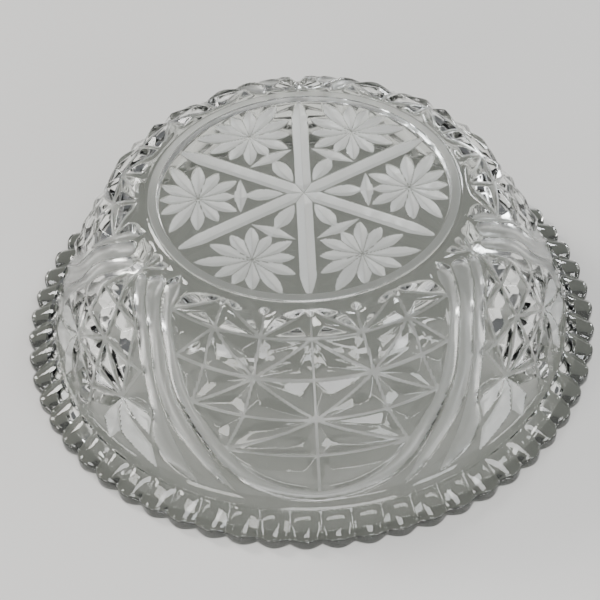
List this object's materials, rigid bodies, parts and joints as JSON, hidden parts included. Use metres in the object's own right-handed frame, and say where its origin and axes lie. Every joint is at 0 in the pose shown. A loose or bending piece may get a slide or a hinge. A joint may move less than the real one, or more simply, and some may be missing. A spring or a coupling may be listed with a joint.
{
  "type": "pressed glass bowl",
  "caption": "Round pressed-glass serving bowl with a beaded rim, cut-glass style star panels, a foot ring and a base of rays and daisies, standing upside down on its rim.",
  "frame": {"origin": "centre of the plane that the rim rests on, with the bowl upside down", "axes": "+Z along the bowl's axis from the rim up through the base, -Y towards the middle of an arch panel"},
  "size_m": [0.212, 0.212, 0.066],
  "materials": {
    "glass": "clear fire-polished pressed glass"
  },
  "bodies": {
    "root": {"bowl": "glass"}
  },
  "joints": []
}
